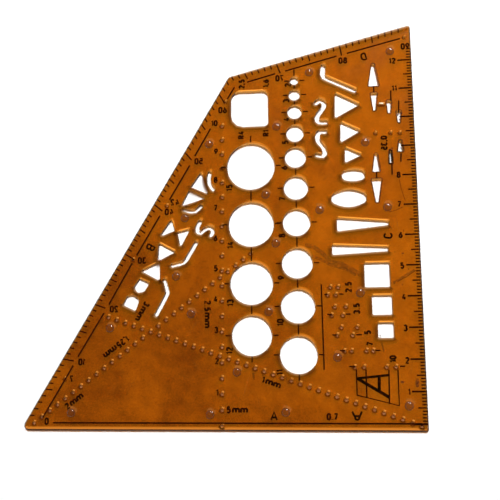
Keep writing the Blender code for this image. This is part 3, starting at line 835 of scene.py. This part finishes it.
# How far the strips beside the rims reach over the top face, and how high they lie above it
BAND_REACH = 2.0
DARK_RIM_REACH = 0.45
PINHOLE_REACH = 0.8
BAND_LIFT = 0.01
# A rim counts as straight where one of its sides is longer than this
STRAIGHT_SIDE = 2.2


def middle(loop):
    """The mean of a rim's corners."""
    return sum(loop, Vector((0.0, 0.0))) / len(loop)


def over_opening(line, from_rim=1.5, from_middle=2.2):
    """Whether a line of the layout comes near an opening."""
    a, b = (at(*point) for point in line)
    tries = [a.lerp(b, i / 8) for i in range(9)]
    return any((corner - place).length < from_rim * MM or (middle(loop) - place).length < from_middle * MM
               for loop in OPENINGS for corner in loop for place in tries)


def strips(name, loops, reach, material):
    """Strips on the top face beside some rims, with each point's way across and its turn to the light."""
    # Places across a strip, closer together beside the rim
    steps = (0.0, 0.03, 0.06, 0.1, 0.15, 0.2, 0.26, 0.33, 0.42, 0.55, 0.75, 1.0)
    points, faces, across, facing, straight, outline = [], [], [], [], [], []
    for loop in loops:
        first = len(points)
        for i, point in enumerate(loop):
            ahead = (loop[(i + 1) % len(loop)] - point).normalized()
            behind = (point - loop[i - 1]).normalized()
            along = (ahead + behind).normalized()
            inward = Vector((-along.y, along.x))
            mitre = min(1 / max(along.dot(ahead), 0.5), 1.6)
            longest = max((loop[(i + 1) % len(loop)] - point).length, (point - loop[i - 1]).length)
            for step in steps:
                points.append((*(point + inward * mitre * step * reach * MM), TOP + BAND_LIFT * MM))
                across.append(step)
                facing.append(inward.dot(LIGHT_SIDE))
                straight.append(1.0 if longest > STRAIGHT_SIDE * MM else 0.0)
                outline.append(1.0 if loop is OUTLINE else 0.0)
        for i in range(len(loop)):
            a, b = first + i * len(steps), first + (i + 1) % len(loop) * len(steps)
            faces += [(a + k, b + k, b + k + 1, a + k + 1) for k in range(len(steps) - 1)]
    mesh = bpy.data.meshes.new(name)
    mesh.from_pydata(points, [], faces)
    note(mesh, across=across, facing=facing, straight=straight, outline=outline)
    mesh.materials.append(material)
    placed(name, mesh)


def wall_bands():
    """Painted light and shade beside every rim, and dark brown rims round the narrow arrows at the scale."""
    large = [loop for loop in RIMS if loop not in SMALL_HOLES]
    corner = at(-15.2, 60.0)
    arrows = [loop for loop in large if middle(loop).x > corner.x and middle(loop).y > corner.y]
    strips("wall_bands", [loop for loop in large if loop not in arrows], BAND_REACH, rim_glow())
    # Dark brown rims round the narrow arrows
    strips("dark_arrow_rims", arrows, DARK_RIM_REACH, smear("dark_film_round_an_arrow", "#241004", 0.8))
    strips("pencil_hole_bands", SMALL_HOLES, PINHOLE_REACH, pinhole_glow())


def note(mesh, **values):
    """Writes a value for every point of a mesh."""
    for name, numbers in values.items():
        mesh.attributes.new(name, "FLOAT", "POINT").data.foreach_set("value", numbers)


def cut_walls():
    """A skin on the cut edges, from foot to rim, with how each part faces the light for its painted light and
    shade.
    """
    solid = sheet_solid()
    skin = 0.01 * MM
    points, faces, up, facing, outline = [], [], [], [], []
    outer = max(solid.verts, key=lambda v: v.co.x)
    edge_faces, waiting = set(), [f for f in outer.link_faces if abs(f.normal.z) < 0.99]
    while waiting:
        face = waiting.pop()
        if face not in edge_faces:
            edge_faces.add(face)
            waiting += [f for edge in face.edges for f in edge.link_faces if abs(f.normal.z) < 0.99]
    pinholes = [middle(loop) for loop in SMALL_HOLES]
    for face in solid.faces:
        if abs(face.normal.z) > 0.99:
            continue
        level = Vector((face.normal.x, face.normal.y)).normalized()
        in_pinhole = min((face.calc_center_median().xy - centre).length for centre in pinholes) < 1.0 * MM
        turned = -level.dot(LIGHT_SIDE)
        first = len(points)
        for vert in face.verts:
            points.append(vert.co + face.normal * skin)
            up.append((vert.co.z - SHEET_LOW.z) / (TOP - SHEET_LOW.z))
            facing.append(max(turned, -0.3) if in_pinhole else turned)
            outline.append(1.0 if face in edge_faces else 0.0)
        faces.append(tuple(range(first, len(points))))
    solid.free()
    mesh = bpy.data.meshes.new("cut_walls")
    mesh.from_pydata(points, [], faces)
    note(mesh, up=up, facing=facing, outline=outline)
    mesh.materials.append(milled_acrylic())
    # The sheet below it already casts the tinted shadow
    placed("cut_walls", mesh).visible_shadow = False


def dust_in_holes():
    """A ragged disc of painted shade near the foot of every pencil hole."""
    depth, fill = 0.6, 0.95
    points, faces = [], []
    for loop in SMALL_HOLES:
        centre = middle(loop)
        first = len(points)
        for corner in loop:
            points.append((*centre.lerp(corner, fill * CHANCE.uniform(0.9, 1.05)), SHEET_LOW.z + depth * MM))
        faces.append(tuple(range(first + len(loop) - 1, first - 1, -1)))
    mesh = bpy.data.meshes.new("pencil_dust")
    mesh.from_pydata(points, [], faces)
    mesh.materials.append(pencil_dust())
    placed("pencil_dust", mesh)


def risers():
    """The moulded drops that hold the sheet clear of wet ink, smooth where the solids are faceted, with a
    painted patch of light beside each.
    """
    nodes = [name for name in frame["nodes"] if name != "sheet"]
    boxes = [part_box(name) for name in nodes]
    radius = sum(high.x - low.x for low, high in boxes) / len(boxes) / 2
    height = boxes[0][1].z - TOP
    mesh = bpy.data.meshes.new("riser_places")
    mesh.from_pydata([(*((low + high) / 2).xy, TOP) for low, high in boxes], [], [])
    piece = grown("resin_drops", mesh, riser_tree(),
                  {"Radius": radius, "Height": height, "Material": riser_resin()})
    piece.data.shade_smooth()
    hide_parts(*nodes)
    # Painted light: a soft pale patch on the upper side of each drop
    gleams = []
    for low, high in boxes:
        place = ((low + high) / 2).xy - ZERO
        gleams.append(spot(place.x / MM + 0.5, place.y / MM + 1.2, rx=1.6, ry=0.95, turn=-25))
    spots("light_past_the_drops", gleams, smear("light_gathered_by_a_drop", "#C8813E", 0.34), 0.016)


def dress_sheet():
    """The sheet keeps its solid and gets its finish."""
    solid = frame["nodes"]["sheet"].data
    solid.materials.clear()
    solid.materials.append(acrylic())


# The studio


def looked_along(tree, path):
    """1 for a ray that the camera, a mirror or clear plastic looks along, and 0 for light that falls."""
    mirrored = add(tree, "ShaderNodeMath", {"operation": "MAXIMUM"},
                   links={0: path.outputs["Is Camera Ray"], 1: path.outputs["Is Glossy Ray"]})
    viewed = add(tree, "ShaderNodeMath", {"operation": "MAXIMUM"},
                 links={0: mirrored.outputs["Value"], 1: path.outputs["Is Transmission Ray"]})
    return viewed.outputs["Value"]


# Metres: from the middle of the table top to each side, and from the sheet's foot down to it
FLOOR_REACH = 2.0
FLOOR_DROP = 0.00005
# Metres from the middle: the card keeps its shadow inside the first, and is plain white past the second
SHADOW_KEPT = 0.09
PLAIN_WHITE = 0.22
# The share of the card's own white that is seen through the sheet
WHITE_THROUGH = 0.6


def floor():
    """A white table top that stays white far from the sheet and keeps its shadow near it."""
    made, tree, shader = blank("white_card")
    shader.inputs["Base Color"].default_value = srgb("#F8F8F8")
    shader.inputs["Roughness"].default_value = 0.9
    shader.inputs["Specular IOR Level"].default_value = 0.0
    glow = add(tree, "ShaderNodeEmission", inputs={"Color": (1, 1, 1, 1), "Strength": 1.05})
    path = add(tree, "ShaderNodeLightPath")
    place = add(tree, "ShaderNodeTexCoord").outputs["Object"]
    away = add(tree, "ShaderNodeVectorMath", {"operation": "LENGTH"}, links={0: place})
    far = add(tree, "ShaderNodeMath", {"operation": "MULTIPLY"},
              links={0: looked_along(tree, path),
                     1: share(tree, away.outputs["Value"], SHADOW_KEPT, PLAIN_WHITE)})
    near = add(tree, "ShaderNodeMath", {"operation": "MULTIPLY"}, {1: WHITE_THROUGH},
               {0: path.outputs["Is Transmission Ray"]})
    seen = add(tree, "ShaderNodeMath", {"operation": "MAXIMUM"},
               links={0: far.outputs["Value"], 1: near.outputs["Value"]})
    mix = add(tree, "ShaderNodeMixShader", links={0: seen.outputs["Value"], 1: shader.outputs["BSDF"],
                                                  2: glow.outputs["Emission"]})
    tree.links.new(mix.outputs["Shader"], tree.nodes["Material Output"].inputs["Surface"])
    mesh = bpy.data.meshes.new("table_top")
    corners = [(-FLOOR_REACH, -FLOOR_REACH), (FLOOR_REACH, -FLOOR_REACH),
               (FLOOR_REACH, FLOOR_REACH), (-FLOOR_REACH, FLOOR_REACH)]
    mesh.from_pydata([(x, y, SHEET_LOW.z - FLOOR_DROP) for x, y in corners], [], [(0, 1, 2, 3)])
    mesh.materials.append(made)
    table = bpy.data.objects.new("table_top", mesh)
    bpy.context.scene.collection.objects.link(table)


def world():
    """A studio with pale walls and a dark ceiling, and a white backdrop where it is looked at."""
    made = bpy.data.worlds.new("studio")
    bpy.context.scene.world = made
    made.use_nodes = True
    tree = made.node_tree
    background = tree.nodes["Background"]
    up = add(tree, "ShaderNodeSeparateXYZ", links={0: add(tree, "ShaderNodeTexCoord").outputs["Generated"]})
    walls = add(tree, "ShaderNodeValToRGB", links={"Fac": up.outputs["Z"]}, stops=[
        (0.0, grey(0.45)), (0.35, grey(0.3)), (0.7, grey(0.03))])
    backdrop = add(tree, "ShaderNodeValToRGB", links={"Fac": up.outputs["Z"]}, stops=[
        (0.0, grey(1.0)), (0.3, grey(1.0)), (0.5, grey(0.2)), (0.7, grey(0.03))])
    viewed = looked_along(tree, add(tree, "ShaderNodeLightPath"))
    colour = add(tree, "ShaderNodeMix", {"data_type": "RGBA"},
                 links={0: viewed, 6: walls.outputs["Color"], 7: backdrop.outputs["Color"]})
    tree.links.new(colour.outputs[2], background.inputs["Color"])
    background.inputs["Strength"].default_value = 1.0


def lamp(name, direction, distance, size, watts):
    """A round soft light that shines at the sheet from a direction."""
    light = bpy.data.lights.new(name, "AREA")
    light.shape = "DISK"
    light.size = size
    light.energy = watts
    body = bpy.data.objects.new(name, light)
    place = Vector(direction).normalized() * distance
    body.location = place
    body.rotation_euler = (-place).to_track_quat("-Z", "Y").to_euler()
    bpy.context.scene.collection.objects.link(body)
    return body


def lights():
    """A low window that only glints, and a high lamp on the same side that lights the table."""
    window = lamp("window", (*LIGHT_FROM, 0.80), distance=0.9, size=0.46, watts=18.0)
    window.visible_diffuse = False
    window.visible_transmission = False
    high = lamp("high_lamp", (*LIGHT_FROM, 2.5), distance=0.9, size=0.12, watts=9.8)
    high.visible_glossy = False
    high.visible_transmission = False


# The camera, fitted to the edge scale and the hole rows in the photograph
CAMERA_PLACE = Vector((0.03393, -0.05536, 0.25812))
CAMERA_FORWARD = Vector((-0.11678, 0.18905, -0.97500))
CAMERA_UP = Vector((0.02406, 0.98197, 0.18752))
CAMERA_SENSOR = 36.0
CAMERA_LENS = 57.08
CAMERA_SHIFT = (0.04, -0.02)


def camera():
    """The view of the photograph; the shifts stand for its crop."""
    data = bpy.data.cameras.new("camera")
    data.sensor_width = CAMERA_SENSOR
    data.lens = CAMERA_LENS
    data.shift_x, data.shift_y = CAMERA_SHIFT
    data.clip_start = 0.01
    seen = bpy.data.objects.new("camera", data)
    right = CAMERA_FORWARD.cross(CAMERA_UP).normalized()
    turn = Matrix((right, right.cross(CAMERA_FORWARD), -CAMERA_FORWARD)).transposed()
    seen.matrix_world = Matrix.Translation(CAMERA_PLACE) @ turn.to_4x4()
    bpy.context.scene.collection.objects.link(seen)
    bpy.context.scene.camera = seen


camera()
dress_sheet()
wall_bands()
cut_walls()
dust_in_holes()
risers()
printing()
wear()
floor()
world()
lights()
bpy.context.scene.view_settings.view_transform = "Standard"
